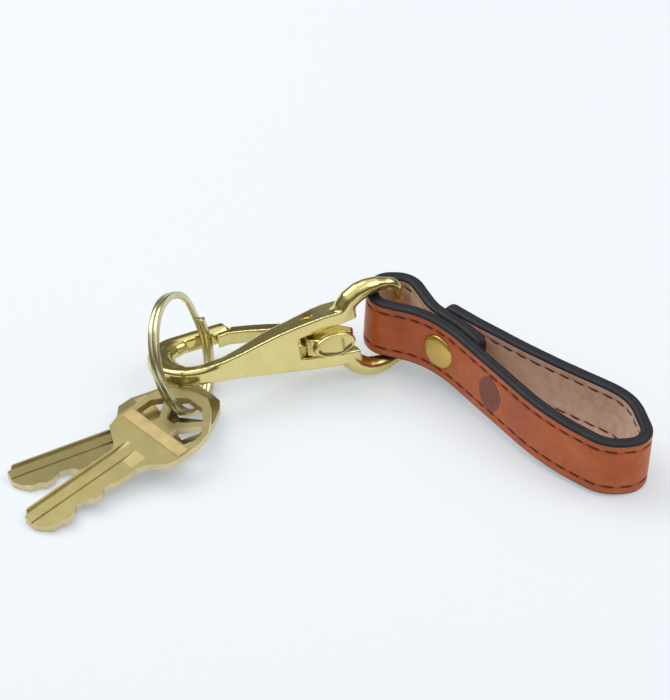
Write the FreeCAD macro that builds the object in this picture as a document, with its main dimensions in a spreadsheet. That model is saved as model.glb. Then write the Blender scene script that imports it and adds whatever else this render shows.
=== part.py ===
"""Keychain: a folded leather strap, a brass trigger snap, a split ring and two keys.

Millimetres, +Z up.  The origin is on the surface that the keychain lies on, under the
middle of its box.  +X points from the keys towards the folded end of the strap.
"""
import FreeCAD, Part
import math
import os
import Sketcher

V = FreeCAD.Vector
DOC = FreeCAD.newDocument("keychain")
SHEET = DOC.addObject("Spreadsheet::Sheet", "Sizes")

SIZES = {
    # the strap: two plies glued back to back, standing on its long edge
    "strap_width": 15.0,
    "ply": 1.45,
    "layer_gap": 0.05,
    "strap_tilt": 3.65,
    "wrap_radius": 4.3,
    "end_radius": 4.6,
    # the stitches, one row along each edge
    "stitch_pitch": 3.8,
    "stitch_length": 2.7,
    "stitch_size": 0.6,
    "stitch_proud": 0.12,
    "stitch_inset": 2.4,
    # the rivet through the three layers
    "rivet_x": 24.9,
    "rivet_y": -13.84,
    "cap_radius": 4.3,
    "cap_dome": 1.0,
    "cap_rim": 0.35,
    "cap_lift": 0.2,
    "post_radius": 1.5,
    # the snap, about the middle of its strap bar
    "bar_x": 15.0,
    "bar_y": -3.4,
    "bar_z": 12.2,
    "snap_heading": 24.0,
    "snap_pitch": 2.0,
    "snap_roll": 12.0,
    "wire_radius": 1.4,
    "eye_half": 9.7,
    "eye_back": 12.9,
    "eye_corner": 2.8,
    "hook_thick": 3.5,
    "hook_tall": 4.2,
    "hook_round": 1.1,
    "hook_near": 1.15,
    "hook_far": 17.8,
    "hook_left": 56.2,
    "nose_x": 36.6,
    "hook_bend_near": 8.0,
    "hook_bend_far": 7.0,
    "slot_left": 25.4,
    "slot_right": 10.0,
    "slot_half_left": 2.45,
    "slot_half_right": 4.2,
    "far_taper": 1.4,
    # the sprung lever that closes the hook
    "pivot_x": 21.6,
    "pivot_y": 3.0,
    "pin_radius": 1.0,
    "pin_play": 0.05,
    "pin_length": 12.0,
    "gate_half": 1.6,
    "pad_half": 2.1,
    "spring_radius": 1.5,
    "spring_wire": 0.17,
    "spring_low": 1.85,
    "spring_pitch": 0.4,
    "spring_turns": 1.75,
    # the split ring: two flat turns of one wire
    "ring_outer": 14.25,
    "ring_band": 1.6,
    "ring_turn": 1.1,
    "ring_gap": 0.05,
    "ring_step": 50.0,
    "ring_seam": 25.0,
    "ring_x": -34.68,
    "ring_y": -19.06,
    "ring_z": 13.72,
    # the keys
    "key_thick": 1.8,
    "band_x": 36.0,
    "band_half": 1.5,
    "band_high": 0.12,
    "groove_deep": 0.55,
    "front_heading": 42.03,
    "front_tilt": 7.76,
    "front_x": -66.43,
    "front_y": -62.57,
    "front_z": 0.158,
    "rear_heading": 27.25,
    "rear_tilt": 3.12,
    "rear_x": -71.65,
    "rear_y": -47.65,
    "rear_z": 0.094,
    # the middle of the whole keychain, which becomes the origin
    "middle_x": -1.28,
    "middle_y": -30.13,
}

# Half heights of the snap's wide near face, by distance from the strap bar.
FACE_HALF = [(-50.0, 2.3), (-43.8, 2.8), (-39.0, 3.5), (-34.2, 4.5), (-29.4, 5.4),
             (-24.6, 6.1), (-19.0, 6.8), (-11.2, 7.1)]
# The snap's body seen along its height: near face, right end, far face.
BODY_PLAN = [(-50.0, -0.1), (-43.8, -0.6), (-31.7, -0.5), (-24.6, -0.9), (-15.2, -1.9),
             (-11.2, -1.9), (-11.0, 3.0), (-13.0, 6.4), (-16.5, 6.9), (-25.6, 5.5),
             (-32.1, 5.0), (-37.3, 3.9), (-42.5, 2.8), (-50.0, 2.9)]
# The gate arm and the thumb pad seen along the pivot pin.
GATE_PLAN = [(-40.0, 13.6), (-39.4, 15.4), (-36.2, 15.6), (-35.6, 16.5), (-32.2, 15.1), (-27.9, 12.8),
             (-23.5, 10.0), (-18.4, 5.8), (-18.4, 2.0), (-22.4, 1.0), (-23.8, 3.4),
             (-23.9, 6.9), (-28.8, 9.8), (-33.0, 12.1), (-37.4, 13.9)]
PAD_PLAN = [(-19.3, 2.2), (-20.2, 0.9), (-23.4, 0.2), (-24.0, -1.0), (-23.0, -2.4), (-20.0, -3.6),
            (-16.4, -3.9), (-13.4, -3.1), (-12.4, -1.6), (-14.2, 1.0), (-17.0, 4.4),
            (-19.4, 5.4)]
# The key seen from above: the cut edge, the bow and the back of the blade.
CUTS = [(0.4, -3.6), (2.2, -5.3), (4.2, -5.3), (5.6, -6.0), (7.6, -5.6), (9.6, -3.9), (11.6, -3.9),
        (13.6, -5.7), (15.6, -5.7), (17.0, -4.6), (18.8, -4.6), (20.2, -5.3)]
BOW = [(25.6, -5.4), (28.4, -6.5), (31.2, -9.4), (34.0, -10.2), (40.6, -9.9), (44.0, -8.8),
       (47.2, -6.0), (50.0, -2.8), (51.2, -0.4), (50.8, 2.4), (49.4, 7.0), (47.8, 9.5),
       (44.4, 10.5), (34.0, 10.8), (30.4, 9.6), (27.6, 4.8), (26.0, 3.4)]
TIP = [(1.4, 3.4), (-0.6, 1.6), (-0.8, -1.8)]
WINDOWS = [
    [(37.8, 3.3), (39.9, 3.2), (44.8, 7.1), (42.2, 9.0), (37.8, 9.0)],
    [(40.7, 1.7), (45.6, 5.9), (48.3, 3.1), (48.3, -1.7), (45.6, -5.1), (40.7, -0.9)],
    [(37.8, -2.4), (39.9, -2.4), (44.7, -6.3), (42.2, -8.3), (37.8, -8.3)],
]


def fill_sheet():
    for row, (alias, value) in enumerate(SIZES.items(), 1):
        SHEET.set(f"A{row}", alias)
        SHEET.set(f"B{row}", str(value))
        SHEET.setAlias(f"B{row}", alias)
    DOC.recompute()


def size(alias):
    return float(SHEET.get(alias))


def bearing(degrees):
    """Unit vector in the plane at this angle from +X."""
    return V(math.cos(math.radians(degrees)), math.sin(math.radians(degrees)), 0)


def to_origin(placement):
    """Shift a placement from the working frame to the keychain's own origin."""
    shift = V(-size("middle_x"), -size("middle_y"), 0)
    return FreeCAD.Placement(shift, FreeCAD.Rotation()).multiply(placement)


def feature(label, shape, placement):
    obj = DOC.addObject("Part::Feature", label)
    obj.Shape = shape
    obj.Placement = placement
    return obj


# ---------------------------------------------------------------- outlines and paths

def tangent_path(corners):
    """Edges of straight runs joined by tangent arcs; a corner is (point, radius)."""
    edges = []
    start = corners[0][0]
    for (before, _), (corner, radius), (after, _) in zip(corners, corners[1:], corners[2:]):
        arriving = (corner - before).normalize()
        leaving = (after - corner).normalize()
        turn = arriving.getAngle(leaving)
        reach = radius * math.tan(turn / 2)
        first = corner - arriving * reach
        last = corner + leaving * reach
        inward = (leaving - arriving).normalize()
        middle = corner + inward * (radius / math.cos(turn / 2) - radius)
        edges.append(Part.LineSegment(start, first).toShape())
        edges.append(Part.Arc(first, middle, last).toShape())
        start = last
    edges.append(Part.LineSegment(start, corners[-1][0]).toShape())
    return edges


def left_of(tangent):
    return V(-tangent.y, tangent.x, 0)


def beside(edges, offset):
    """The same path, moved to its left by offset."""
    moved = []
    for edge in edges:
        low, high = edge.ParameterRange
        spots = [edge.valueAt(t) + left_of(edge.tangentAt(t)) * offset
                 for t in (low, (low + high) / 2, high)]
        if isinstance(edge.Curve, Part.Line):
            moved.append(Part.LineSegment(spots[0], spots[2]).toShape())
        else:
            moved.append(Part.Arc(*spots).toShape())
    return moved


def band(edges, near, far, tall):
    """Upright strip between two offsets of a path."""
    one = beside(edges, near)
    two = beside(edges, far)
    caps = []
    for tip in (0, -1):
        end = (edges[tip].ParameterRange[0], edges[tip].ParameterRange[1])[tip]
        spot = edges[tip].valueAt(end)
        side = left_of(edges[tip].tangentAt(end))
        caps.append(Part.LineSegment(spot + side * near, spot + side * far).toShape())
    outline = Part.Wire(Part.__sortEdges__(one + caps + two))
    return Part.Face(outline).extrude(V(0, 0, tall))


def flat_face(points, height=0.0):
    corners = [V(x, y, height) for x, y in points]
    return Part.Face(Part.makePolygon(corners + corners[:1]))


def slab(points, low, high):
    return flat_face(points, low).extrude(V(0, 0, high - low))


def rounded_section(centre, across, up, wide, tall, corner):
    """Rectangle with round corners, wide along across and tall along up."""
    half_wide = wide / 2
    half_tall = tall / 2
    points = []
    for side, lift in ((1, 1), (-1, 1), (-1, -1), (1, -1)):
        points.append(centre + across * (side * half_wide) + up * (lift * half_tall))
    edges = []
    count = len(points)
    for i in range(count):
        here, after, before = points[i], points[(i + 1) % count], points[i - 1]
        to_after = (after - here).normalize()
        to_before = (before - here).normalize()
        bulge = (to_after + to_before) * (corner * (1 - math.sqrt(0.5)))
        edges.append(Part.Arc(here + to_before * corner, here + bulge,
                              here + to_after * corner).toShape())
        edges.append(Part.LineSegment(here + to_after * corner,
                                      after - to_after * corner).toShape())
    return Part.Wire(edges)


def pipe(path, section):
    return path.makePipeShell([section], True, True)


def polygon_sketch(body, name, role, corners):
    """Closed polygon on an origin plane; a corner holds two numbers or sheet expressions."""
    sketch = body.newObject("Sketcher::SketchObject", name)
    plane = [f for f in body.Origin.OriginFeatures if f.Role == role][0]
    sketch.AttachmentSupport = [(plane, "")]
    sketch.MapMode = "FlatFace"
    count = len(corners)
    spots = [bearing(360.0 * i / count) * 5 for i in range(count)]
    for i in range(count):
        sketch.addGeometry(Part.LineSegment(spots[i], spots[(i + 1) % count]), False)
    for i in range(count):
        sketch.addConstraint(Sketcher.Constraint("Coincident", i, 2, (i + 1) % count, 1))
    for i, corner in enumerate(corners):
        for kind, term in zip(("DistanceX", "DistanceY"), corner):
            bound = isinstance(term, str)
            place = Sketcher.Constraint(kind, i, 1, 1.0 if bound else float(term))
            index = sketch.addConstraint(place)
            if bound:
                sketch.setExpression(f"Constraints[{index}]", term)
    return sketch


def new_body(label, placement):
    body = DOC.addObject("PartDesign::Body", label)
    body.Placement = placement
    return body


# ---------------------------------------------------------------- the strap

def strap_path():
    """Middle of the strap from its outer end, round the fold, round the bar, to its inner end."""
    step = 2 * size("ply") + size("layer_gap")
    knee = V(47.5, -43.2, 0)
    fold = V(26.7, -15.47, 0)
    lap = V(20.3, -9.67, 0)
    run = (lap - fold).normalize()
    entry = (fold - knee).normalize()
    stack_side = left_of(run) * -1
    entry_side = left_of(entry) * -1
    inner_fold = fold + (stack_side + entry_side) * (step / (1 + stack_side.dot(entry_side)))
    wrap = size("wrap_radius")
    corners = [
        (lap + stack_side * (2 * step) - run * 1.5, 0),
        (lap + stack_side * (2 * step) - run * 8.4, 100),
        (V(46.0, -22.9, 0), 150),
        (V(66.3, -36.2, 0), 13),
        (V(69.8, -50.3, 0), size("end_radius")),
        (V(60.3, -52.8, 0), 9),
        (knee, 60),
        (fold, 38),
        (lap, 20),
        (V(8.5, -6.5, 0), wrap),
        (V(8.7, 2.56, 0), wrap),
        (V(17.6, 3.02, 0), 5),
        (lap + stack_side * step, 14),
        (inner_fold, 18),
        (inner_fold - entry * 7.5, 0),
    ]
    return tangent_path(corners), run


def strap_placement(ply_shape):
    """The strap leans up off the table, because its wrapped end rests on the snap's eye."""
    along = V(0.78, -0.626, 0)
    hinge = V(0, 0, 1).cross(along)
    turn = FreeCAD.Rotation(hinge, size("strap_tilt"))
    held = V(70.0, -50.0, size("strap_width"))
    placed = FreeCAD.Placement(held - turn.multVec(held), turn)
    trial = ply_shape.copy()
    trial.Placement = placed
    placed.Base.z -= trial.optimalBoundingBox(False).ZMin
    return to_origin(placed)


def ply_strip(edges, near, far):
    strip = band(edges, near, far, size("strap_width"))
    corners = [e for e in strip.Edges if abs(e.Length - size("ply")) < 0.001]
    return strip.makeFillet(2.5, corners)


def rivet_axis(run):
    """A point on the middle of the near layer, and the way through the stack."""
    point = V(size("rivet_x"), size("rivet_y"), size("strap_width") / 2)
    return point, left_of(run) * -1


def rivet_hole(run):
    point, through = rivet_axis(run)
    return Part.makeCylinder(size("post_radius") + 0.02, 20, point - through * 5, through)


def stitch_row(edges, height):
    """Separate stitches through both plies, all the way but for the hidden inner end."""
    total = sum(e.Length for e in edges)
    reach = size("ply") + size("stitch_proud")
    long, thick = size("stitch_length"), size("stitch_size")
    stitches = []
    place = 3.5
    for edge in edges:
        low, high = edge.ParameterRange
        covered = sum(e.Length for e in edges[:edges.index(edge)])
        while covered <= place < covered + edge.Length and place < total - 26:
            t = low + (high - low) * (place - covered) / edge.Length
            tangent = edge.tangentAt(t)
            angle = math.degrees(math.atan2(tangent.y, tangent.x))
            stitch = Part.makeBox(long, 2 * reach, thick, V(-long / 2, -reach, -thick / 2))
            stitch.Placement = FreeCAD.Placement(edge.valueAt(t) + V(0, 0, height),
                                                 FreeCAD.Rotation(V(0, 0, 1), angle))
            stitches.append(stitch)
            place += size("stitch_pitch")
    return Part.makeCompound(stitches)


def make_strap():
    edges, run = strap_path()
    ply, wide, inset = size("ply"), size("strap_width"), size("stitch_inset")
    hole = rivet_hole(run)
    leather = ply_strip(edges, 0, ply).cut(hole)
    placement = strap_placement(leather)
    feature("strap_leather", leather, placement)
    feature("strap_lining", ply_strip(edges, -ply, 0).cut(hole), placement)
    feature("stitching_upper", stitch_row(edges, wide - inset), placement)
    feature("stitching_lower", stitch_row(edges, inset), placement)
    return run, placement


def make_rivet(run, strap):
    """Two domed caps on one post that goes through the three layers."""
    point, through = rivet_axis(run)
    stack = 6 * size("ply") + 2 * size("layer_gap")
    rim, dome, cap = "Sizes.cap_rim", "Sizes.cap_dome", "Sizes.cap_radius"
    shoulder = (cap + " * 0.7", rim + " * 0.45 + " + dome + " * 0.55")
    head = [(cap, 0.0), (cap, rim), shoulder, (0.0, dome)]
    spots = {
        "rivet_cap": (through * -1, point - through * (size("ply") + size("cap_lift")), [(0.0, 0.0)]),
        "rivet_post": (through, point + through * (stack - size("ply") + size("cap_lift")),
                       [(0.0, -stack - 0.2), ("Sizes.post_radius", -stack - 0.2),
                        ("Sizes.post_radius", 0.0)]),
    }
    for label, (outward, seat, inner) in spots.items():
        turn = FreeCAD.Rotation(V(0, 0, 1), outward)
        body = new_body(label, strap.multiply(FreeCAD.Placement(seat, turn)))
        sketch = polygon_sketch(body, label + "_profile", "XZ_Plane", inner + head)
        turned = body.newObject("PartDesign::Revolution", label + "_turned")
        turned.Profile = sketch
        turned.ReferenceAxis = (sketch, ["V_Axis"])
        turned.Angle = 360


# ---------------------------------------------------------------- the snap

def snap_placement():
    turn = FreeCAD.Rotation(V(0, 0, 1), size("snap_heading"))
    turn = turn.multiply(FreeCAD.Rotation(V(0, 1, 0), -size("snap_pitch")))
    turn = turn.multiply(FreeCAD.Rotation(V(1, 0, 0), -size("snap_roll")))
    bar = V(size("bar_x"), size("bar_y"), size("bar_z"))
    return to_origin(FreeCAD.Placement(bar, turn))


def face_outline(depth, shrink):
    """Corners of the body's outline in an upright plane, less tall by shrink."""
    top = [V(x, depth, half - shrink) for x, half in FACE_HALF]
    return top + [V(p.x, depth, -p.z) for p in reversed(top)]


def tapered_body():
    near = face_outline(-3.0, 0)
    far = face_outline(8.0, size("far_taper"))
    outlines = [near, far]
    for i in range(len(near)):
        outlines.append([near[i - 1], near[i], far[i], far[i - 1]])
    faces = [Part.Face(Part.makePolygon(points + points[:1])) for points in outlines]
    wedge = Part.Solid(Part.Shell(faces))
    return wedge.common(slab(BODY_PLAN, -9, 9))


def hook_bar():
    near, far, left = size("hook_near"), size("hook_far"), -size("hook_left")
    corners = [(V(-34.0, near, 0), 0), (V(left, near, 0), size("hook_bend_near")),
               (V(left, far, 0), size("hook_bend_far")), (V(-size("nose_x"), far, 0), 0)]
    path = Part.Wire(tangent_path(corners))
    section = rounded_section(corners[0][0], V(0, 1, 0), V(0, 0, 1), size("hook_thick"),
                              size("hook_tall"), size("hook_round"))
    return pipe(path, section)


def strap_eye():
    back, half, corner = -size("eye_back"), size("eye_half"), size("eye_corner")
    spots = [(back, half - 5.2), (back, half), (0.0, half), (0.0, -half), (back, -half),
             (back, -half + 5.2)]
    corners = [(V(x, 0, z), corner) for x, z in spots]
    path = Part.Wire(tangent_path(corners))
    ring = Part.Wire(Part.makeCircle(size("wire_radius"), corners[0][0], V(0, 0, 1)))
    return pipe(path, ring)


def lever_slot():
    left, right = -size("slot_left"), -size("slot_right")
    tight, wide = size("slot_half_left"), size("slot_half_right")
    outline = [V(left, -6, tight), V(right, -6, wide), V(right, -6, -wide),
               V(left, -6, -tight)]
    return Part.Face(Part.makePolygon(outline + outline[:1])).extrude(V(0, 18, 0))


def pivot_pin(radius, length):
    foot = V(-size("pivot_x"), size("pivot_y"), -length / 2)
    return Part.makeCylinder(radius, length, foot)


def make_snap(placement):
    body = tapered_body().fuse([hook_bar(), strap_eye()]).removeSplitter()
    body = body.cut([lever_slot(), pivot_pin(size("pin_radius"), size("pin_length"))])
    feature("snap_body", body, placement)


def make_lever(placement):
    body = new_body("gate_lever", placement)
    for name, plan, half in (("gate_arm", GATE_PLAN, "gate_half"),
                             ("thumb_pad", PAD_PLAN, "pad_half")):
        pad = body.newObject("PartDesign::Pad", name)
        pad.Profile = polygon_sketch(body, name + "_plan", "XY_Plane", plan)
        pad.Midplane = True
        pad.setExpression("Length", f"2 * Sizes.{half}")
    hole = body.newObject("PartDesign::Pocket", "pivot_hole")
    hole.Profile = circle_sketch(body, "pivot_hole_plan", "-Sizes.pivot_x", "Sizes.pivot_y",
                                 "Sizes.pin_radius + Sizes.pin_play")
    hole.Midplane = True
    hole.Length = 20


def circle_sketch(body, name, across, up, radius):
    sketch = body.newObject("Sketcher::SketchObject", name)
    plane = [f for f in body.Origin.OriginFeatures if f.Role == "XY_Plane"][0]
    sketch.AttachmentSupport = [(plane, "")]
    sketch.MapMode = "FlatFace"
    sketch.addGeometry(Part.Circle(V(1, 1, 0), V(0, 0, 1), 1), False)
    for kind, args, term in (("DistanceX", (0, 3, 1.0), across), ("DistanceY", (0, 3, 1.0), up),
                             ("Radius", (0, 1.0), radius)):
        index = sketch.addConstraint(Sketcher.Constraint(kind, *args))
        sketch.setExpression(f"Constraints[{index}]", term)
    return sketch


def make_pin(placement):
    pin = DOC.addObject("Part::Cylinder", "gate_pin")
    pin.setExpression("Radius", "Sizes.pin_radius")
    pin.setExpression("Height", "Sizes.pin_length")
    foot = V(-size("pivot_x"), size("pivot_y"), -size("pin_length") / 2)
    pin.Placement = placement.multiply(FreeCAD.Placement(foot, FreeCAD.Rotation()))


def make_spring(placement):
    """A small coil round the pin, beside the lever's boss."""
    rise = size("spring_pitch") * size("spring_turns")
    coil = Part.makeHelix(size("spring_pitch"), rise, size("spring_radius"))
    wire = Part.Wire(Part.makeCircle(size("spring_wire"), V(size("spring_radius"), 0, 0),
                                     V(0, 1, 0)))
    foot = V(-size("pivot_x"), size("pivot_y"), size("spring_low"))
    spot = placement.multiply(FreeCAD.Placement(foot, FreeCAD.Rotation()))
    feature("gate_spring", pipe(Part.Wire(coil.Edges), wire), spot)


# ---------------------------------------------------------------- the split ring

def flat_turn(low, start, sweep):
    """Part of a flat turn of the ring's wire, from an angle through a sweep."""
    outer, band_wide, tall = size("ring_outer"), size("ring_band"), size("ring_turn")
    inner = outer - band_wide
    corners = [V(inner, 0, low), V(outer, 0, low), V(outer, 0, low + tall),
               V(inner, 0, low + tall)]
    turn = Part.Face(Part.makePolygon(corners + corners[:1]))
    turn.rotate(V(0, 0, 0), V(0, 0, 1), start)
    return turn.revolve(V(0, 0, 0), V(0, 0, 1), sweep)


def ring_crossover(rise):
    """The short stretch that climbs from the lower turn to the upper one."""
    outer, wide, tall = size("ring_outer"), size("ring_band"), size("ring_turn")
    sweep, stations = size("ring_step"), 8
    sections = []
    for i in range(stations + 1):
        share = i / stations
        out = bearing(sweep * (share - 0.5))
        lift = V(0, 0, rise * (share * share * (3 - 2 * share) - 0.5))
        low, high = lift - V(0, 0, tall / 2), lift + V(0, 0, tall / 2)
        corners = [out * (outer - wide) + low, out * outer + low, out * outer + high,
                   out * (outer - wide) + high]
        sections.append(Part.makePolygon(corners + corners[:1]))
    return Part.makeLoft(sections, True, False)


def make_ring():
    tall, gap, step = size("ring_turn"), size("ring_gap"), size("ring_step")
    rise = tall + gap
    around = 360 - step
    lower = flat_turn(-rise / 2 - tall / 2, step / 2, around)
    upper = flat_turn(rise / 2 - tall / 2, step / 2, around)
    ring = lower.fuse([ring_crossover(rise), upper]).removeSplitter()
    across = V(0.261, 0.966, 0).normalize()
    normal = V(0.90, -0.243, 0.362).normalize()
    upward = normal.cross(across)
    turn = FreeCAD.Rotation(across, upward, normal, "ZXY")
    turn = turn.multiply(FreeCAD.Rotation(V(0, 0, 1), size("ring_seam")))
    centre = V(size("ring_x"), size("ring_y"), size("ring_z"))
    feature("split_ring", ring, to_origin(FreeCAD.Placement(centre, turn)))


# ---------------------------------------------------------------- the keys

def key_placement(name, height, tilt):
    turn = FreeCAD.Rotation(V(0, 0, 1), size(name + "_heading"))
    turn = turn.multiply(FreeCAD.Rotation(V(0, 1, 0), -tilt))
    spot = V(size(name + "_x"), size(name + "_y"), height)
    return to_origin(FreeCAD.Placement(spot, turn))


def on_top(sketch):
    sketch.setExpression("AttachmentOffset.Base.z", "Sizes.key_thick")
    return sketch


def rectangle(left, right, low, high):
    return [(left, low), (right, low), (right, high), (left, high)]


def make_key(label, placement):
    body = new_body(label, placement)
    blank = body.newObject("PartDesign::Pad", label + "_blank")
    blank.Profile = polygon_sketch(body, label + "_outline", "XY_Plane", CUTS + BOW + TIP)
    blank.setExpression("Length", "Sizes.key_thick")
    for number, window in enumerate(WINDOWS):
        cut = body.newObject("PartDesign::Pocket", f"{label}_window_{number}")
        cut.Profile = polygon_sketch(body, f"{label}_window_plan_{number}", "XY_Plane", window)
        cut.Midplane = True
        cut.Length = 10
    low = "Sizes.band_x - Sizes.band_half"
    high = "Sizes.band_x + Sizes.band_half"
    rib = body.newObject("PartDesign::Pad", label + "_band")
    rib.Profile = on_top(polygon_sketch(body, label + "_band_plan", "XY_Plane",
                                        rectangle(low, high, -9.6, 9.9)))
    rib.setExpression("Length", "Sizes.band_high")
    mills = (("groove", rectangle(-3.0, 30.0, 1.8, 2.9), "Sizes.groove_deep"),
             ("mill", rectangle(-3.0, 29.3, -4.4, -0.7), "Sizes.groove_deep * 0.6"))
    for name, plan, deep in mills:
        groove = body.newObject("PartDesign::Pocket", f"{label}_{name}")
        groove.Profile = on_top(polygon_sketch(body, f"{label}_{name}_plan", "XY_Plane", plan))
        groove.setExpression("Length", deep)


# ---------------------------------------------------------------- the whole keychain

def sub_parts():
    """Every object that is a piece of the keychain, and none of what it is built from."""
    return [obj for obj in DOC.Objects
            if obj.TypeId in ("Part::Feature", "PartDesign::Body", "Part::Cylinder")]


def check_document():
    DOC.recompute()
    for obj in DOC.Objects:
        if "Invalid" in obj.State or "Error" in obj.State:
            raise RuntimeError(f"{obj.Label} failed: {obj.State}")
    for obj in sub_parts():
        if obj.Shape.isNull() or not obj.Shape.isValid():
            raise RuntimeError(f"{obj.Label} has no valid shape")


def write_parts():
    os.makedirs("parts", exist_ok=True)
    for obj in sub_parts():
        obj.Shape.exportStep(f"parts/{obj.Label}.step")
        box = obj.Shape.BoundBox
        print(f"{obj.Label}: {len(obj.Shape.Solids)} solids, {obj.Shape.Volume:.1f} mm3, "
              f"x {box.XMin:.2f} {box.XMax:.2f} y {box.YMin:.2f} {box.YMax:.2f} "
              f"z {box.ZMin:.2f} {box.ZMax:.2f}")


def main():
    fill_sheet()
    run, strap = make_strap()
    make_rivet(run, strap)
    snap = snap_placement()
    make_snap(snap)
    make_lever(snap)
    make_pin(snap)
    make_spring(snap)
    make_ring()
    make_key("key_front", key_placement("front", size("front_z"), size("front_tilt")))
    make_key("key_rear", key_placement("rear", size("rear_z"), size("rear_tilt")))
    check_document()
    write_parts()


main()
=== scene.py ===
import bmesh
import bpy
import math
import random
from mathutils import Matrix, Vector


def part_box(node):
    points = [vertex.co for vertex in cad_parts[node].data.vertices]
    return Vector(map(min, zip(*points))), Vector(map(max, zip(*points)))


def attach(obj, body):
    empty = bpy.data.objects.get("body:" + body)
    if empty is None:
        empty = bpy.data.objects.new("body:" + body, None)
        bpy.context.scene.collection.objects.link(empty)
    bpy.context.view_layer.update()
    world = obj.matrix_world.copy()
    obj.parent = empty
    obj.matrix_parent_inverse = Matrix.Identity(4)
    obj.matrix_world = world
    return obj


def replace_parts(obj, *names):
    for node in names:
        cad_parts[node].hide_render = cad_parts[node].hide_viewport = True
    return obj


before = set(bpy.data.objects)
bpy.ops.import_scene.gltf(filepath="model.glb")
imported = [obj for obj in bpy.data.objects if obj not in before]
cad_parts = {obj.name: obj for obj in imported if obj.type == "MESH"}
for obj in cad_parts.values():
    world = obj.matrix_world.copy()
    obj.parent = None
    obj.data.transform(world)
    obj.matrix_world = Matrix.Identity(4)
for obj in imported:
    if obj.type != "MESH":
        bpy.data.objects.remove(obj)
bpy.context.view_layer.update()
random.seed(11)
MM = 0.001
# the middle of the keychain in the frame that its places are measured in; it became the origin
MIDDLE = Vector((-1.28, -30.13, 0))


# ------------------------------------------------------------------ mesh helpers

def to_row(points, matrix=None):
    """Millimetres in a local frame to metres in the row frame."""
    return [(matrix @ Vector(p) if matrix else Vector(p)) * MM for p in points]


def placed(spot, heading, pitch=0.0, roll=0.0):
    """A piece's own frame: turned by its heading, tipped up by its pitch, then rolled."""
    turn = Matrix.Rotation(math.radians(heading), 4, "Z")
    turn = turn @ Matrix.Rotation(math.radians(-pitch), 4, "Y")
    turn = turn @ Matrix.Rotation(math.radians(-roll), 4, "X")
    return Matrix.Translation(Vector(spot) - MIDDLE) @ turn


def new_piece(name, verts, faces, body, materials, zones=None, smooth=True):
    mesh = bpy.data.meshes.new(name)
    mesh.from_pydata([tuple(v) for v in verts], [], faces)
    for m in materials:
        mesh.materials.append(m)
    if zones:
        for poly, z in zip(mesh.polygons, zones):
            poly.material_index = z
    obj = bpy.data.objects.new(name, mesh)
    bpy.context.scene.collection.objects.link(obj)
    bm = bmesh.new()
    bm.from_mesh(mesh)
    bmesh.ops.recalc_face_normals(bm, faces=bm.faces)
    bm.to_mesh(mesh)
    bm.free()
    for poly in mesh.polygons:
        poly.use_smooth = smooth
    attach(obj, body)
    return obj


def sweep(sections):
    """Quads between equal closed sections, with end caps."""
    n = len(sections[0])
    verts = [v for section in sections for v in section]
    faces = []
    for i in range(len(sections) - 1):
        for j in range(n):
            k = (j + 1) % n
            faces.append((i * n + j, i * n + k, (i + 1) * n + k, (i + 1) * n + j))
    faces.append(tuple(range(n)))
    last = (len(sections) - 1) * n
    faces.append(tuple(last + j for j in reversed(range(n))))
    return verts, faces


def lathe(profile, centre, axis, turns=96):
    """A closed turned piece; profile is (radius, height), top middle to bottom middle."""
    axis = Vector(axis).normalized()
    side = axis.cross(Vector((0, 0, 1))).normalized()
    other = axis.cross(side)
    centre = Vector(centre)
    verts, faces, loops = [], [], []
    for r, h in profile:
        if r < 1e-6:
            loops.append([len(verts)])
            verts.append(centre + axis * h)
            continue
        loop = []
        for i in range(turns):
            a = 2 * math.pi * i / turns
            loop.append(len(verts))
            verts.append(centre + axis * h + (side * math.cos(a) + other * math.sin(a)) * r)
        loops.append(loop)
    for a, b in zip(loops, loops[1:]):
        for i in range(turns):
            j = (i + 1) % turns
            if len(a) == 1:
                faces.append((a[0], b[i], b[j]))
            elif len(b) == 1:
                faces.append((a[i], b[0], a[j]))
            else:
                faces.append((a[i], b[i], b[j], a[j]))
    return verts, faces


def cad_mesh(node):
    """The CAD node's mesh in millimetres, welded."""
    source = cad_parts[node]
    bm = bmesh.new()
    bm.from_mesh(source.data)
    for v in bm.verts:
        v.co = v.co / MM
    bmesh.ops.remove_doubles(bm, verts=bm.verts, dist=0.002)
    return bm


def add_mesh(bm, verts, faces):
    made = [bm.verts.new(tuple(v)) for v in verts]
    for f in faces:
        bm.faces.new([made[i] for i in f])


def baked(name, bm, modifiers, body, material, flat=False):
    """Runs the modifiers on a millimetre mesh and keeps the result as a piece in metres."""
    mesh = bpy.data.meshes.new(name)
    bmesh.ops.recalc_face_normals(bm, faces=bm.faces)
    bm.to_mesh(mesh)
    bm.free()
    obj = bpy.data.objects.new(name + "_tmp", mesh)
    bpy.context.scene.collection.objects.link(obj)
    for kind, values in modifiers:
        mod = obj.modifiers.new(kind, kind)
        for key, value in values.items():
            setattr(mod, key, value)
    graph = bpy.context.evaluated_depsgraph_get()
    done = bpy.data.meshes.new_from_object(obj.evaluated_get(graph))
    bpy.data.objects.remove(obj, do_unlink=True)
    done.transform(Matrix.Scale(MM, 4))
    done.name = name
    done.materials.clear()
    done.materials.append(material)
    for poly in done.polygons:
        poly.use_smooth = not flat
    piece = bpy.data.objects.new(name, done)
    bpy.context.scene.collection.objects.link(piece)
    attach(piece, body)
    return piece


# ------------------------------------------------------------------ materials

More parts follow.
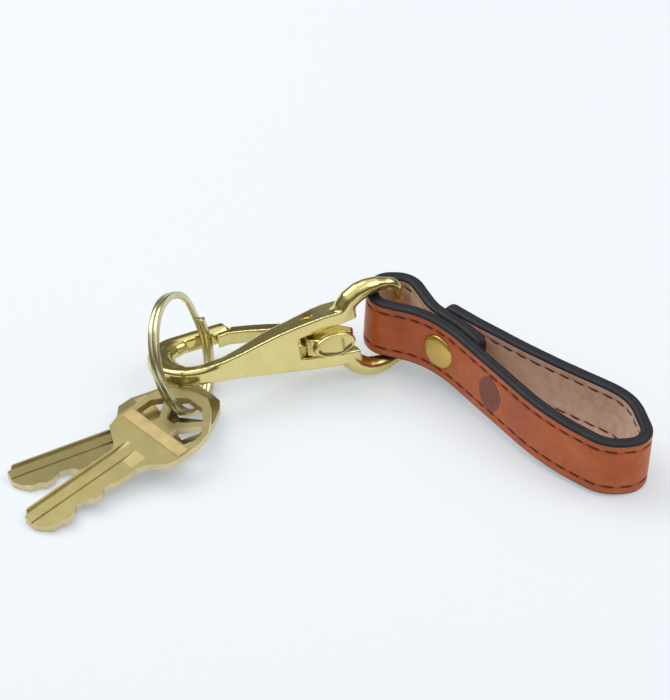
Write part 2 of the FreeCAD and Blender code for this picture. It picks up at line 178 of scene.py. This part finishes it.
class Nodes:
    """A small helper for building one material's node tree."""

    def __init__(self, name):
        self.material = bpy.data.materials.new(name)
        self.material.use_nodes = True
        self.tree = self.material.node_tree
        self.bsdf = self.tree.nodes["Principled BSDF"]

    def add(self, kind, inputs=None, **settings):
        node = self.tree.nodes.new(kind)
        for key, value in settings.items():
            setattr(node, key, value)
        for key, value in (inputs or {}).items():
            if hasattr(value, "is_linked"):
                self.tree.links.new(value, node.inputs[key])
            else:
                node.inputs[key].default_value = value
        return node

    def position(self):
        """Millimetres on the piece, from its own object coordinates."""
        coords = self.add("ShaderNodeTexCoord").outputs["Object"]
        return self.add("ShaderNodeVectorMath", {0: coords, 1: (1000, 1000, 1000)},
                        operation="MULTIPLY").outputs[0]

    def noise(self, where, scale, detail=3.0, rough=0.5):
        return self.add("ShaderNodeTexNoise", {"Vector": where, "Scale": scale, "Detail": detail,
                                               "Roughness": rough}).outputs["Fac"]

    def ramp(self, factor, stops):
        node = self.add("ShaderNodeValToRGB", {"Fac": factor})
        ramp = node.color_ramp
        while len(ramp.elements) < len(stops):
            ramp.elements.new(0.5)
        for element, (place, colour) in zip(ramp.elements, stops):
            element.position = place
            element.color = (*colour, 1)
        return node.outputs["Color"]

    def math(self, op, a, b=0.0):
        return self.add("ShaderNodeMath", {0: a, 1: b}, operation=op).outputs[0]

    def mix(self, factor, a, b, blend="MIX"):
        node = self.add("ShaderNodeMix", {}, data_type="RGBA", blend_type=blend)
        for key, value in ((0, factor), (6, a), (7, b)):
            if hasattr(value, "is_linked"):
                self.tree.links.new(value, node.inputs[key])
            else:
                node.inputs[key].default_value = value if key == 0 else (*value, 1)
        return node.outputs[2]

    def bump(self, height, strength, distance, normal=None):
        inputs = {"Height": height, "Strength": strength, "Distance": distance}
        if normal is not None:
            inputs["Normal"] = normal
        return self.add("ShaderNodeBump", inputs).outputs["Normal"]

    def put(self, **values):
        for key, value in values.items():
            socket = self.bsdf.inputs[key.replace("_", " ")]
            if hasattr(value, "is_linked"):
                self.tree.links.new(value, socket)
            elif key in ("Base_Color", "Sheen_Tint"):
                socket.default_value = (*value, 1)
            else:
                socket.default_value = value
        return self.material


def srgb(r, g, b):
    def linear(c):
        c /= 255
        return c / 12.92 if c <= 0.04045 else ((c + 0.055) / 1.055) ** 2.4
    return linear(r), linear(g), linear(b)


# the middle of the plain darker mark on the near face, in millimetres
STAMP = (36.1, 1.2, 10.0)


def tan_leather():
    n = Nodes("tan_leather")
    p = n.position()
    broad = n.noise(p, 0.09, 4, 0.6)
    base = n.ramp(broad, [(0.3, srgb(176, 78, 30)), (0.5, srgb(192, 92, 38)),
                          (0.72, srgb(204, 108, 50))])
    pores = n.add("ShaderNodeTexVoronoi", {"Vector": p, "Scale": 3.2},
                  feature="F1").outputs["Distance"]
    fleck = n.ramp(n.noise(p, 1.6, 5, 0.7), [(0.35, (0.8, 0.8, 0.8)), (0.6, (1, 1, 1))])
    colour = n.mix(0.55, base, fleck, "MULTIPLY")
    offset = n.add("ShaderNodeVectorMath", {0: p, 1: STAMP}, operation="SUBTRACT").outputs[0]
    shaped = n.add("ShaderNodeVectorMath", {0: offset, 1: (0.24, 0.19, 0.17)},
                   operation="MULTIPLY").outputs[0]
    reach = n.add("ShaderNodeVectorMath", {0: shaped}, operation="LENGTH").outputs["Value"]
    ragged = n.math("ADD", reach, n.math("MULTIPLY", n.noise(p, 0.5, 4), 0.4))
    colour = n.mix(n.ramp(ragged, [(0.98, (0.85,) * 3), (1.1, (0, 0, 0))]), colour,
                   srgb(112, 52, 32))
    grain = n.math("ADD", n.math("MULTIPLY", pores, 0.6), n.noise(p, 5.5, 4, 0.6))
    crease = n.noise(p, 0.5, 3, 0.5)
    normal = n.bump(crease, 0.25, 0.0004)
    normal = n.bump(grain, 0.16, 0.00012, normal)
    rough = n.ramp(n.noise(p, 0.7, 4), [(0.3, (0.38,) * 3), (0.7, (0.52,) * 3)])
    return n.put(Base_Color=colour, Roughness=rough, Normal=normal, Specular_IOR_Level=0.35,
                 Coat_Weight=0.06, Coat_Roughness=0.3)


def suede():
    n = Nodes("flesh_side")
    p = n.position()
    base = n.ramp(n.noise(p, 0.45, 6, 0.75),
                  [(0.3, srgb(206, 165, 140)), (0.5, srgb(224, 188, 164)),
                   (0.7, srgb(236, 206, 182))])
    fibres = n.noise(n.add("ShaderNodeVectorMath", {0: p, 1: (1.0, 1.0, 3.0)},
                           operation="MULTIPLY").outputs[0], 3.0, 8, 0.8)
    colour = n.mix(0.5, base, n.ramp(fibres, [(0.3, (0.72, 0.68, 0.66)), (0.65, (1, 1, 1))]),
                   "MULTIPLY")
    return n.put(Base_Color=colour, Roughness=0.95, Normal=n.bump(fibres, 0.55, 0.0003),
                 Sheen_Weight=0.25, Sheen_Roughness=0.5)


def edge_paint():
    n = Nodes("edge_paint")
    p = n.position()
    colour = n.ramp(n.noise(p, 0.35, 4, 0.6), [(0.35, srgb(9, 10, 17)), (0.65, srgb(20, 21, 32))])
    normal = n.bump(n.noise(p, 0.8, 4, 0.55), 0.3, 0.0003)
    rough = n.ramp(n.noise(p, 1.2, 3), [(0.3, (0.5,) * 3), (0.7, (0.66,) * 3)])
    return n.put(Base_Color=colour, Roughness=rough, Normal=normal)


def thread():
    n = Nodes("waxed_thread")
    p = n.position()
    twist = n.add("ShaderNodeTexWave", {"Vector": p, "Scale": 1.3, "Distortion": 1.5},
                  bands_direction="DIAGONAL").outputs["Fac"]
    colour = n.ramp(twist, [(0.2, srgb(52, 18, 10)), (0.8, srgb(92, 34, 18))])
    return n.put(Base_Color=colour, Roughness=0.6, Normal=n.bump(twist, 0.5, 0.0001))


def brass(name, dark, bright, low, high, wave, scratch):
    """Brass between two colours and two roughnesses, with waves and fine scratches as bumps."""
    n = Nodes(name)
    p = n.position()
    colour = n.ramp(n.noise(p, 0.25, 5, 0.6), [(0.2, dark), (0.8, bright)])
    dull = n.noise(p, 0.55, 6, 0.65)
    rough = n.ramp(dull, [(0.2, (low,) * 3), (0.8, (high,) * 3)])
    stretched = n.add("ShaderNodeVectorMath", {0: p, 1: (0.6, 6.0, 6.0)},
                      operation="MULTIPLY").outputs[0]
    normal = n.bump(n.noise(p, 0.32, 2, 0.4), wave, 0.0006)
    normal = n.bump(n.noise(stretched, 2.0, 5, 0.7), scratch, 0.00006, normal)
    return n.put(Base_Color=colour, Metallic=1.0, Roughness=rough, Normal=normal)


LEATHER = tan_leather()
SUEDE = suede()
PAINT = edge_paint()
THREAD = thread()
CAST = brass("cast_brass", srgb(216, 200, 128), srgb(229, 215, 150), 0.14, 0.2, 0.04, 0.0)
LEVER = brass("lever_brass", srgb(210, 194, 122), srgb(224, 209, 144), 0.14, 0.2, 0.04, 0.0)
RIVET = brass("rivet_brass", srgb(196, 162, 86), srgb(214, 184, 108), 0.22, 0.36, 0.15, 0.15)
RING = brass("ring_brass", srgb(196, 188, 146), srgb(220, 212, 172), 0.18, 0.3, 0.1, 0.1)
KEY = brass("key_brass", srgb(134, 124, 82), srgb(148, 138, 95), 0.32, 0.4, 0.02, 0.15)
BAND = brass("stippled_band", srgb(164, 146, 98), srgb(200, 182, 132), 0.34, 0.5, 0.05, 1.0)
# a paler brass for the keys' sides and groove-end slopes: painted highlight, for faces turned from
# the top that catch the light
KEY_SIDE_HIGHLIGHT = brass("painted_highlight_brass", srgb(206, 190, 146), srgb(226, 212, 170), 0.24, 0.4, 0.05, 0.2)
STEEL = brass("spring_steel", (0.5, 0.49, 0.46), (0.6, 0.59, 0.56), 0.25, 0.4, 0.05, 0.1)


# ------------------------------------------------------------------ the strap

PLY = 1.45
LAYER_GAP = 0.05
WIDE = 15.0
WRAP_RADIUS = 4.3
STRAP_TILT = 3.65
# where the straight stretch under the rivet begins and ends, and the bend before it
KNEE = Vector((47.5, -43.2))
FOLD = Vector((26.7, -15.47))
LAP = Vector((20.3, -9.67))
RUN = (LAP - FOLD).normalized()
END_ROUND = 2.5
# the same slight waviness for both plies, so their edges stay level
WOBBLE = [random.uniform(-1, 1) for _ in range(60)]


def right_of(direction):
    return Vector((direction.y, -direction.x))


def strap_corners():
    """The path's corners and bend radii: the outer end, the loop, the bar, the inner end."""
    step = 2 * PLY + LAYER_GAP
    entry = (FOLD - KNEE).normalized()
    side, entry_side = right_of(RUN), right_of(entry)
    inner_fold = FOLD + (side + entry_side) * (step / (1 + side.dot(entry_side)))
    outer_lap = LAP + side * (2 * step)
    return [(outer_lap - RUN * 1.5, 0), (outer_lap - RUN * 8.4, 100), ((46.0, -22.9), 150),
            ((66.3, -36.2), 13), ((69.8, -50.3), 4.6), ((60.3, -52.8), 9), (KNEE, 60),
            (FOLD, 38), (LAP, 20), ((8.5, -6.5), WRAP_RADIUS), ((8.7, 2.56), WRAP_RADIUS),
            ((17.6, 3.02), 5), (LAP + side * step, 14), (inner_fold, 18),
            (inner_fold - entry * 7.5, 0)]


def path_points(corners, gap=0.5):
    """Points, tangents and running lengths along straight runs joined by tangent arcs."""
    spots = []

    def run(a, b):
        steps = max(1, int((b - a).length / gap))
        d = (b - a).normalized()
        for i in range(steps + 1):
            spots.append((a.lerp(b, i / steps), d))

    start = Vector(corners[0][0])
    for (before, _), (corner, radius), (after, _) in zip(corners, corners[1:], corners[2:]):
        before, corner, after = Vector(before), Vector(corner), Vector(after)
        arriving = (corner - before).normalized()
        leaving = (after - corner).normalized()
        turn = arriving.angle(leaving)
        reach = radius * math.tan(turn / 2)
        first = corner - arriving * reach
        last = corner + leaving * reach
        run(start, first)
        sign = 1 if arriving.x * leaving.y - arriving.y * leaving.x > 0 else -1
        centre = first + Vector((-arriving.y, arriving.x)) * (sign * radius)
        steps = max(3, int(radius * turn / gap))
        for i in range(1, steps + 1):
            a = sign * turn * i / steps
            c, s = math.cos(a), math.sin(a)
            arm = first - centre
            spots.append((centre + Vector((arm.x * c - arm.y * s, arm.x * s + arm.y * c)),
                          Vector((arriving.x * c - arriving.y * s,
                                  arriving.x * s + arriving.y * c))))
        start = last
    run(start, Vector(corners[-1][0]))
    clean = [spots[0]]
    for spot in spots[1:]:
        if (spot[0] - clean[-1][0]).length > 0.02:
            clean.append(spot)
    lengths = [0.0]
    for (a, _), (b, _) in zip(clean, clean[1:]):
        lengths.append(lengths[-1] + (b - a).length)
    return clean, lengths


SPOTS, LENGTHS = path_points(strap_corners())
TOTAL = LENGTHS[-1]


def along(s):
    """Point and tangent of the strap's path at a running length."""
    s = min(max(s, 0.0), TOTAL)
    low, high = 0, len(LENGTHS) - 1
    while high - low > 1:
        mid = (low + high) // 2
        if LENGTHS[mid] <= s:
            low = mid
        else:
            high = mid
    share = (s - LENGTHS[low]) / max(1e-9, LENGTHS[high] - LENGTHS[low])
    (a, ta), (b, tb) = SPOTS[low], SPOTS[high]
    return a.lerp(b, share), ta.lerp(tb, share).normalized()


def strap_spot(s, u, w):
    p, t = along(s)
    return Vector((p.x - t.y * u, p.y + t.x * u, w))


def strap_frame():
    """The strap leans up off the table about a hinge across it, with its lowest edge as in CAD."""
    lean = Matrix.Rotation(math.radians(STRAP_TILT), 4, Vector((0.626, 0.78, 0)))
    held = Vector((70.0, -50.0, WIDE))
    base = held - lean @ held - MIDDLE
    lowest = min((lean @ strap_spot(s, PLY, 0)).z for s in LENGTHS)
    base.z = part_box("strap_leather")[0][2] / MM - lowest
    return Matrix.Translation(base) @ lean


STRAP = strap_frame()

# half of the ply's section: (depth from the seam, distance from the long edge, zone)
HALF = [(0.0, 0.0, 1), (0.3, 0.0, 1), (0.75, 0.03, 1), (1.05, 0.13, 1), (1.27, 0.32, 1),
        (1.39, 0.52, 1), (1.44, 0.7, 0), (1.47, 1.1, 0), (1.47, 1.6, 0), (1.42, 1.95, 0),
        (1.3, 2.15, 0), (1.2, 2.3, 0), (1.2, 2.5, 0), (1.3, 2.65, 0), (1.42, 2.85, 0),
        (1.47, 3.3, 0), (1.48, 4.2, 0), (1.48, 5.8, 0)]


def half_height(s):
    reach = min(s, TOTAL - s)
    if reach >= END_ROUND:
        return WIDE / 2
    return WIDE / 2 - END_ROUND + math.sqrt(max(0.0, END_ROUND ** 2 - (END_ROUND - reach) ** 2))


def make_ply(name, side, body, face_material, node):
    """One ply swept along the strap, its rounded long edges and its ends painted."""
    stations = [0.0, 0.06, 0.2, 0.45, 0.8, 1.2, 1.7, 2.2]
    s = 2.6
    while s < TOTAL - 2.6:
        stations.append(s)
        s += 0.55
    stations += [TOTAL - x for x in reversed(stations[:8])]
    sections = []
    for s in stations:
        hh = half_height(s)
        reach = min(s, TOTAL - s)
        squeeze = 1 - 0.35 * max(0.0, 1 - reach / 0.6) ** 2
        k = s / TOTAL * 58
        i = int(k)
        drift = 0.05 * (WOBBLE[i] * (1 - k + i) + WOBBLE[i + 1] * (k - i))
        ring = []
        for sign in (1, -1):
            half = []
            for depth, d, _ in HALF:
                fade = min(1.0, reach / 3.0)
                if 1.9 < d < 2.9:
                    depth = 1.47 - (1.47 - depth) * fade
                lift = hh - d if d < hh - 0.5 else 0.5 * (hh - d) / max(0.5, hh)
                height = WIDE / 2 + sign * max(lift, 0.02) + drift * (d < 1)
                half.append((side * depth * squeeze, height))
            ring += half if sign == 1 else list(reversed(half))
        sections.append([STRAP @ strap_spot(s, u, w) for u, w in ring])
    verts, faces = sweep(sections)
    n = len(sections[0])
    m = len(HALF)
    zone_of = [z for _, _, z in HALF] + [z for _, _, z in reversed(HALF)]
    zones = []
    for _ in range(len(sections) - 1):
        for j in range(n):
            k = (j + 1) % n
            zones.append(1 if (zone_of[j] or zone_of[k]) and not (j == m - 1) else 0)
    zones += [1, 1]
    # the end stretch of the face beside the cap is painted too
    for i in range(len(zones) - 2):
        if i // n in (0, 1, 2, len(sections) - 2, len(sections) - 3, len(sections) - 4):
            zones[i] = 1
    obj = new_piece(name, [v * MM for v in verts], faces, body, [face_material, PAINT],
                    zones)
    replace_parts(obj, node)
    return obj


make_ply("strap_outer_ply", 1, "strap", LEATHER, "strap_leather")
make_ply("strap_inner_ply", -1, "strap", SUEDE, "strap_lining")


# the thread, in millimetres: pitch, length, distance from the long edge, and the bare stretch
# left at the strap's inner end
STITCH_PITCH = 3.8
STITCH_LONG = 3.25
STITCH_INSET = 2.4
THREAD_STOPS = 26


def thread_row(name, height, node):
    """Saddle stitches: short bent threads on both faces that dive into the leather."""
    verts, faces = [], []
    sides, rings = 8, 9
    place = 3.5
    while place < TOTAL - THREAD_STOPS:
        for side in (1, -1):
            long = STITCH_LONG + random.uniform(-0.12, 0.12)
            slant = 0.16 * side + random.uniform(-0.04, 0.04)
            base = len(verts)
            for i in range(rings):
                x = -1 + 2 * i / (rings - 1)
                s = place + x * long / 2
                dive = 0.42 * max(0.0, abs(x) - 0.55) ** 1.5 / 0.45 ** 1.5
                thick = 0.2 * math.sqrt(max(0.05, 1 - 0.75 * x ** 4))
                u0 = 1.31 - dive
                w0 = height + slant * x
                for j in range(sides):
                    a = 2 * math.pi * j / sides
                    verts.append(STRAP @ strap_spot(s, side * (u0 + 0.8 * thick * math.cos(a)),
                                                    w0 + thick * math.sin(a)))
            for i in range(rings - 1):
                for j in range(sides):
                    k = (j + 1) % sides
                    faces.append((base + i * sides + j, base + i * sides + k,
                                  base + (i + 1) * sides + k, base + (i + 1) * sides + j))
            faces.append(tuple(base + j for j in range(sides)))
            faces.append(tuple(base + (rings - 1) * sides + j for j in reversed(range(sides))))
        place += STITCH_PITCH
    obj = new_piece(name, [v * MM for v in verts], faces, "strap", [THREAD])
    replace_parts(obj, node)


thread_row("stitches_upper", WIDE - STITCH_INSET, "stitching_upper")
thread_row("stitches_lower", STITCH_INSET, "stitching_lower")

# the rivet: its direction through the strap, its seat on the near layer's seam, and the whole
# thickness of the three layers
THROUGH = right_of(RUN).to_3d()
SEAT = Vector((24.9, -13.84, WIDE / 2))
STACK = 6 * PLY + 2 * LAYER_GAP
CAP_LIFT = 0.2


def make_rivet(name, seat, outward, node):
    profile = [(0, 0.98), (1.4, 0.96), (2.4, 0.88), (3.1, 0.76), (3.6, 0.61), (3.95, 0.44),
               (4.18, 0.24), (4.28, 0.02), (4.22, -0.14), (4.0, -0.22), (0, -0.22)]
    verts, faces = lathe(profile, seat, outward)
    obj = new_piece(name, to_row(verts, STRAP), faces, "strap", [RIVET])
    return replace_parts(obj, node)


make_rivet("rivet_near_cap", SEAT - THROUGH * (PLY + CAP_LIFT), -THROUGH, "rivet_cap")
make_rivet("rivet_far_cap", SEAT + THROUGH * (STACK - PLY + CAP_LIFT), THROUGH, "rivet_post")


# ------------------------------------------------------------------ the snap

SNAP = placed((15.0, -3.4, 12.2), heading=24.0, pitch=2.0, roll=12.0)


def tube(points, radii, upright=(0, 1, 0), sides=20):
    """A round tube through points, with a radius at each; upright is never along the tube."""
    sections = []
    for i, p in enumerate(points):
        a = Vector(points[max(0, i - 1)])
        b = Vector(points[min(len(points) - 1, i + 1)])
        t = (b - a).normalized()
        side = t.cross(Vector(upright)).normalized()
        other = t.cross(side)
        sections.append([Vector(p) + (side * math.cos(2 * math.pi * j / sides)
                                      + other * math.sin(2 * math.pi * j / sides)) * radii[i]
                         for j in range(sides)])
    return sweep(sections)


def in_snap(verts):
    return [SNAP @ Vector(v) for v in verts]


body_mesh = cad_mesh("snap_body")
for sign in (1, -1):
    pts = [(-14.2, 0.6, sign * 4.8), (-13.2, 0.4, sign * 6.6), (-11.8, 0.2, sign * 8.3),
           (-9.6, 0.0, sign * 9.6), (-7.4, 0.0, sign * 10.0), (-5.0, 0.0, sign * 10.0),
           (-2.9, 0.0, sign * 9.7)]
    verts, faces = tube(pts, [2.5, 2.5, 2.4, 2.3, 2.2, 2.0, 1.5])
    add_mesh(body_mesh, in_snap(verts), faces)
bend = [(-48.5, 2.3, 0), (-51.8, 3.0, 0), (-53.6, 5.0, 0), (-54.2, 8.0, 0), (-54.2, 11.0, 0),
        (-53.2, 14.0, 0), (-50.6, 16.2, 0), (-47.4, 17.0, 0)]
verts, faces = tube(bend, [1.6, 2.0, 2.25, 2.3, 2.3, 2.25, 2.1, 1.8], (0, 0, 1))
add_mesh(body_mesh, in_snap(verts), faces)
beak = [(-40.5, 17.4, 0), (-38.0, 17.5, 0), (-36.2, 17.1, 0), (-35.4, 16.9, 0)]
verts, faces = tube(beak, [2.1, 2.2, 1.5, 0.7], (0, 0, 1))
add_mesh(body_mesh, in_snap(verts), faces)
snap = baked("snap_casting", body_mesh,
             [("REMESH", dict(mode="VOXEL", voxel_size=0.2, adaptivity=0.0)),
              ("SMOOTH", dict(factor=0.5, iterations=26))],
             "snap", CAST)
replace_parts(snap, "snap_body")

lever_mesh = cad_mesh("gate_lever")


def oval(centre, long, tall, profile, turns=64):
    """A turned oval about the snap's depth axis; profile is (share of the radius, depth)."""
    verts, faces = [], []
    for share, depth in profile:
        for i in range(turns):
            a = 2 * math.pi * i / turns
            verts.append((centre[0] + long * share * math.cos(a), centre[1] + depth,
                          centre[2] + tall * share * math.sin(a)))
    n = len(profile)
    for k in range(n - 1):
        for i in range(turns):
            j = (i + 1) % turns
            faces.append((k * turns + i, k * turns + j, (k + 1) * turns + j, (k + 1) * turns + i))
    faces.append(tuple(range(turns)))
    faces.append(tuple((n - 1) * turns + i for i in reversed(range(turns))))
    return verts, faces


verts, faces = oval((-17.9, -3.1, 0.0), 5.1, 2.75,
                    [(0.3, -0.55), (0.62, -0.6), (0.78, -0.72), (0.88, -0.98), (0.97, -0.92),
                     (1.0, -0.55), (1.0, 0.3), (0.9, 0.9), (0.5, 1.2)])
add_mesh(lever_mesh, in_snap(verts), faces)
lever = baked("gate_arm", lever_mesh,
              [("REMESH", dict(mode="VOXEL", voxel_size=0.15, adaptivity=0.0)),
               ("SMOOTH", dict(factor=0.5, iterations=24))],
              "gate", LEVER)
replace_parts(lever, "gate_lever")

for node, material in (("gate_pin", CAST), ("gate_spring", STEEL)):
    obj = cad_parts[node]
    obj.data.materials.clear()
    obj.data.materials.append(material)


# ------------------------------------------------------------------ the split ring

# the split ring, in millimetres and degrees: outer radius, the wire's width and height, the gap
# between its two turns, the stretch where it steps up, and how far round its seam is
RING_OUTER = 14.25
RING_BAND = 1.6
RING_TURN = 1.1
RING_GAP = 0.05
RING_STEP = 50.0
RING_SEAM = 25.0
WIRE_ROUND = 0.22


def make_ring():
    across = Vector((0.261, 0.966, 0)).normalized()
    normal = Vector((0.90, -0.243, 0.362)).normalized()
    upward = normal.cross(across)
    seam = math.radians(RING_SEAM)
    x = across * math.cos(seam) + upward * math.sin(seam)
    y = upward * math.cos(seam) - across * math.sin(seam)
    centre = Vector((-34.68, -19.06, 13.72)) - MIDDLE
    middle = RING_OUTER - RING_BAND / 2
    rise = RING_TURN + RING_GAP
    half_step = RING_STEP / 2
    flat_wide = RING_BAND / 2 - WIRE_ROUND
    flat_tall = RING_TURN / 2 - WIRE_ROUND
    outline = []
    for cx, cz, start in ((1, 1, 0), (-1, 1, 90), (-1, -1, 180), (1, -1, 270)):
        for k in range(4):
            a = math.radians(start + 30 * k)
            outline.append((cx * flat_wide + WIRE_ROUND * math.cos(a),
                            cz * flat_tall + WIRE_ROUND * math.sin(a)))
    sections = []
    angle = half_step
    while angle <= 720 - half_step + 0.01:
        if angle < 360 - half_step:
            lift = -rise / 2
        elif angle > 360 + half_step:
            lift = rise / 2
        else:
            share = (angle - 360 + half_step) / (2 * half_step)
            lift = rise * (share * share * (3 - 2 * share) - 0.5)
        a = math.radians(angle)
        out = x * math.cos(a) + y * math.sin(a)
        sections.append([centre + out * (middle + r) + normal * (lift + z) for r, z in outline])
        angle += 2.5
    verts, faces = sweep(sections)
    obj = new_piece("split_ring_wire", to_row(verts), faces, "ring", [RING])
    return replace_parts(obj, "split_ring")


make_ring()


# ------------------------------------------------------------------ the keys

FRONT = placed((-66.43, -62.57, 0.158), heading=42.03, pitch=7.76)
REAR = placed((-71.65, -47.65, 0.094), heading=27.25, pitch=3.12)
THICK = 1.8
# the brighter band across the bow, from and to along the key
BAND_SPAN = (34.4, 37.6)
# the two milled grooves: where each one's end slope starts and stops, its sides, and its depth
GROOVE_ENDS = [(24.8, 29.36, -4.42, -0.68, 0.33), (26.0, 30.06, 1.78, 2.92, 0.55)]


def ramp_block(x0, x1, low, high, depth):
    """The slope at the end of a milled groove, from its floor up to the key's face."""
    top, floor = THICK + 0.004, THICK - depth - 0.05
    verts = [(x0, low, floor), (x1, low, floor), (x1, low, top), (x0, high, floor),
             (x1, high, floor), (x1, high, top)]
    faces = [(0, 1, 2), (3, 5, 4), (0, 3, 4, 1), (1, 4, 5, 2), (0, 2, 5, 3)]
    return verts, faces


def make_key(node, name, body, place):
    """A key from its CAD shape, with slopes at the ends of its grooves; its sides and those slopes
    get a paler brass as a painted highlight.
    """
    mesh = cad_mesh(node)
    bmesh.ops.dissolve_limit(mesh, angle_limit=math.radians(1), verts=mesh.verts,
                             edges=mesh.edges)
    key = baked(name, mesh, [("BEVEL", dict(width=0.16, segments=2, limit_method="ANGLE",
                                            angle_limit=math.radians(25)))],
                body, KEY, flat=True)
    back = place.inverted()
    bm = bmesh.new()
    bm.from_mesh(key.data)
    for ends in GROOVE_ENDS:
        verts, faces = ramp_block(*ends)
        add_mesh(bm, [place @ Vector(v) * MM for v in verts], faces)
    bm.normal_update()
    # the band gets its stippled brass; faces turned away from straight up (the groove-end slopes
    # and the sides) get the paler brass as a painted highlight
    for face in bm.faces:
        spot = back @ (face.calc_center_median() / MM)
        up = (back.to_3x3() @ face.normal).z
        if BAND_SPAN[0] < spot.x < BAND_SPAN[1] and spot.z > THICK + 0.03:
            face.material_index = 1
        elif up < 0.95 and spot.z > THICK - 0.6 and 24.9 < spot.x < 30.2 and -4.3 < spot.y < 2.9:
            face.material_index = 2
        elif abs(up) < 0.9 and -0.05 < spot.z < THICK + 0.05:
            face.material_index = 2
    bm.to_mesh(key.data)
    bm.free()
    key.data.materials.append(BAND)
    key.data.materials.append(KEY_SIDE_HIGHLIGHT)
    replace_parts(key, node)


make_key("key_front", "front_key_blank", "front_key", FRONT)
make_key("key_rear", "rear_key_blank", "rear_key", REAR)


# ------------------------------------------------------------------ floor, light, camera

# the camera looks at the point that the places were measured from
TARGET = -MIDDLE * MM
CAMERA_REACH = Vector((0, -0.7092, 0.5541))


def make_floor():
    """A pale, slightly glowing table top."""
    mesh = bpy.data.meshes.new("floor")
    r = 3.0
    mesh.from_pydata([(-r, -r, 0), (r, -r, 0), (r, r, 0), (-r, r, 0)], [], [(0, 1, 2, 3)])
    n = Nodes("pale_table")
    n.put(Base_Color=(0.50, 0.53, 0.56), Roughness=0.75, Emission_Strength=0.36)
    n.bsdf.inputs["Emission Color"].default_value = (0.93, 0.965, 1.0, 1)
    mesh.materials.append(n.material)
    obj = bpy.data.objects.new("floor", mesh)
    bpy.context.scene.collection.objects.link(obj)


def area_light(name, place, aim, size, watts, colour=(1, 1, 1)):
    data = bpy.data.lights.new(name, "AREA")
    data.shape = "RECTANGLE"
    data.size, data.size_y = size
    data.energy = watts
    data.color = colour
    obj = bpy.data.objects.new(name, data)
    obj.location = place
    obj.rotation_euler = (Vector(aim) - Vector(place)).to_track_quat("-Z", "Y").to_euler()
    bpy.context.scene.collection.objects.link(obj)


def make_world():
    """A studio sky, dim near the horizon and bright overhead."""
    world = bpy.data.worlds.new("studio")
    bpy.context.scene.world = world
    world.use_nodes = True
    tree = world.node_tree
    background = tree.nodes["Background"]
    coords = tree.nodes.new("ShaderNodeTexCoord")
    split = tree.nodes.new("ShaderNodeSeparateXYZ")
    ramp = tree.nodes.new("ShaderNodeValToRGB")
    tree.links.new(coords.outputs["Generated"], split.inputs[0])
    tree.links.new(split.outputs["Z"], ramp.inputs["Fac"])
    tree.links.new(ramp.outputs["Color"], background.inputs["Color"])
    stops = [(0.0, (0.22, 0.21, 0.18)), (0.3, (0.12, 0.11, 0.08)), (0.5, (0.3, 0.29, 0.25)),
             (0.64, (0.62, 0.62, 0.6)), (0.8, (0.95, 0.97, 1.0)), (1.0, (1.0, 1.02, 1.05))]
    while len(ramp.color_ramp.elements) < len(stops):
        ramp.color_ramp.elements.new(0.5)
    for element, (place, colour) in zip(ramp.color_ramp.elements, stops):
        element.position = place
        element.color = (*colour, 1)
    background.inputs["Strength"].default_value = 1.0


make_floor()
make_world()
area_light("key_light", (-0.45, 0.35, 0.75), TARGET, (0.7, 0.7), 3.6, (1.0, 0.99, 0.97))
area_light("fill_light", (0.6, -0.1, 0.7), TARGET, (0.6, 0.6), 2.0, (0.96, 0.98, 1.0))

scene = bpy.context.scene
scene.view_settings.view_transform = "Standard"
camera = bpy.data.objects.new("camera", bpy.data.cameras.new("camera"))
camera.data.lens = 199.03
camera.data.sensor_width = 36
camera.data.clip_start = 0.05
camera.location = TARGET + CAMERA_REACH
camera.rotation_euler = (TARGET - camera.location).to_track_quat("-Z", "Y").to_euler()
scene.collection.objects.link(camera)
scene.camera = camera
